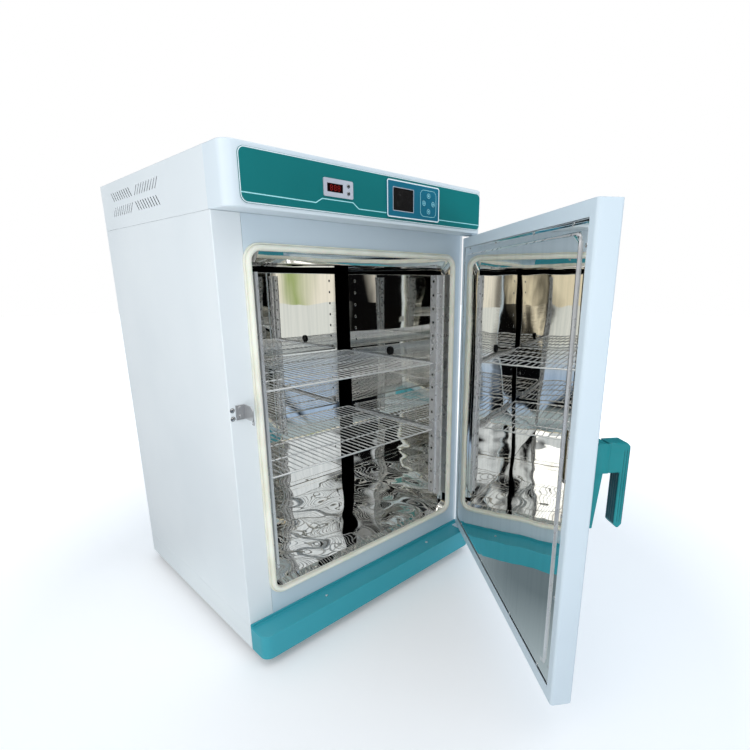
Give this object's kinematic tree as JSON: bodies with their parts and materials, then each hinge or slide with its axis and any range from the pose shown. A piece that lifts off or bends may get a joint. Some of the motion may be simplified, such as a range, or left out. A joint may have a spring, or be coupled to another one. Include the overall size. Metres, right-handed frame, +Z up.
{
  "type": "drying oven",
  "caption": "Laboratory drying oven with a mirror-lined chamber, wire shelves, side-hinged door with a pull handle, and a vented header with its controls.",
  "frame": {"origin": "on the floor under the middle of the cabinet front face", "axes": "+Z up, the front and door toward -Y, +X to the right when facing the front"},
  "size_m": [0.7616, 1.3479, 1.112],
  "materials": {
    "white_paint": "smooth off-white powder coat",
    "front_paint": "smooth pale blue-white powder coat",
    "teal_paint": "satin teal enamel",
    "fascia_film": "satin dark teal film with a pale line",
    "mirror_steel": "mirror-polished stainless sheet",
    "chrome": "bright plated wire",
    "dull_steel": "plain sheet steel",
    "seal_rubber": "cream silicone",
    "black_rubber": "matt black",
    "insulation": "mineral wool",
    "bezel_plastic": "light grey, satin",
    "display_red": "dark red window",
    "lcd": "dark display glass",
    "keypad": "blue-green keypad panel",
    "key_plastic": "pale blue-grey",
    "board": "green laminate"
  },
  "bodies": {
    "cabinet": {"base_pan": "dull_steel", "skirt_left": "white_paint", "skirt_right": "white_paint", "plinth": "teal_paint", "foot_front_left": "black_rubber", "foot_front_right": "black_rubber", "foot_rear_left": "black_rubber", "foot_rear_right": "black_rubber", "side_panel_left": "white_paint", "side_panel_right": "white_paint", "back_panel": "white_paint", "front_frame": "front_paint", "chamber_gasket": "seal_rubber", "striker": "chrome", "chamber_liner": "mirror_steel", "side_duct_left": "mirror_steel", "side_duct_right": "mirror_steel", "chamber_back_panel": "mirror_steel", "shelf_post_left": "chrome", "shelf_post_right": "chrome", "shelf_rail_upper_left": "dull_steel", "shelf_rail_upper_right": "dull_steel", "shelf_rail_lower_left": "dull_steel", "shelf_rail_lower_right": "dull_steel", "port_plug": "black_rubber", "fan_motor": "dull_steel", "heater_element": "dull_steel", "insulation_block": "insulation", "header_housing": "white_paint", "header_cap": "white_paint", "deck_plate": "dull_steel", "fascia_panel": "fascia_film", "limiter_bezel": "bezel_plastic", "limiter_display": "display_red", "controller_frame": "keypad", "lcd_window": "lcd", "circuit_board": "board", "power_inlet": "black_rubber", "hinge_bracket_bottom": "dull_steel", "hinge_bracket_top": "dull_steel"},
    "door": {"door_shell": "white_paint", "door_liner": "mirror_steel", "door_insulation": "insulation", "pivot_bush_bottom": "black_rubber", "pivot_bush_top": "black_rubber", "handle_base": "teal_paint", "handle_pin": "chrome"},
    "handle": {"handle_lever": "teal_paint", "latch_hook": "dull_steel"},
    "upper_shelf": {"wire_shelf_upper": "chrome"},
    "lower_shelf": {"wire_shelf_lower": "chrome"},
    "fan": {"fan_impeller": "dull_steel"},
    "limiter_up": {"limiter_button_up": "key_plastic"},
    "limiter_down": {"limiter_button_down": "key_plastic"},
    "up_key": {"key_up": "key_plastic"},
    "left_key": {"key_left": "key_plastic"},
    "right_key": {"key_right": "key_plastic"},
    "down_key": {"key_down": "key_plastic"}
  },
  "joints": [
    {"name": "door_hinge", "type": "hinge", "parent": "cabinet", "child": "door", "pos_m": [0.367, -0.0375, 0.5], "axis": [0, 0, 1], "range_deg": [-53.5, 117]},
    {"name": "handle_turn", "type": "hinge", "parent": "door", "child": "handle", "pos_m": [-0.02917, -0.63257, 0.6], "axis": [-0.5948, -0.8039, 0], "range_deg": [-6, 14]},
    {"name": "upper_shelf_slide", "type": "slide", "parent": "cabinet", "child": "upper_shelf", "axis": [0, -1, 0], "range_m": [0, 0.1]},
    {"name": "lower_shelf_slide", "type": "slide", "parent": "cabinet", "child": "lower_shelf", "axis": [0, -1, 0], "range_m": [0, 0.1]},
    {"name": "fan_spin", "type": "hinge", "parent": "cabinet", "child": "fan", "pos_m": [0.011, 0.52, 0.533], "axis": [0, 1, 0], "continuous": true},
    {"name": "limiter_up_press", "type": "slide", "parent": "cabinet", "child": "limiter_up", "axis": [0, 1, 0], "range_m": [0, 0.001], "stiffness_N_per_m": 400},
    {"name": "limiter_down_press", "type": "slide", "parent": "cabinet", "child": "limiter_down", "axis": [0, 1, 0], "range_m": [0, 0.001], "stiffness_N_per_m": 400},
    {"name": "up_key_press", "type": "slide", "parent": "cabinet", "child": "up_key", "axis": [0, 1, 0], "range_m": [0, 0.001], "stiffness_N_per_m": 400},
    {"name": "left_key_press", "type": "slide", "parent": "cabinet", "child": "left_key", "axis": [0, 1, 0], "range_m": [0, 0.001], "stiffness_N_per_m": 400},
    {"name": "right_key_press", "type": "slide", "parent": "cabinet", "child": "right_key", "axis": [0, 1, 0], "range_m": [0, 0.001], "stiffness_N_per_m": 400},
    {"name": "down_key_press", "type": "slide", "parent": "cabinet", "child": "down_key", "axis": [0, 1, 0], "range_m": [0, 0.001], "stiffness_N_per_m": 400}
  ]
}
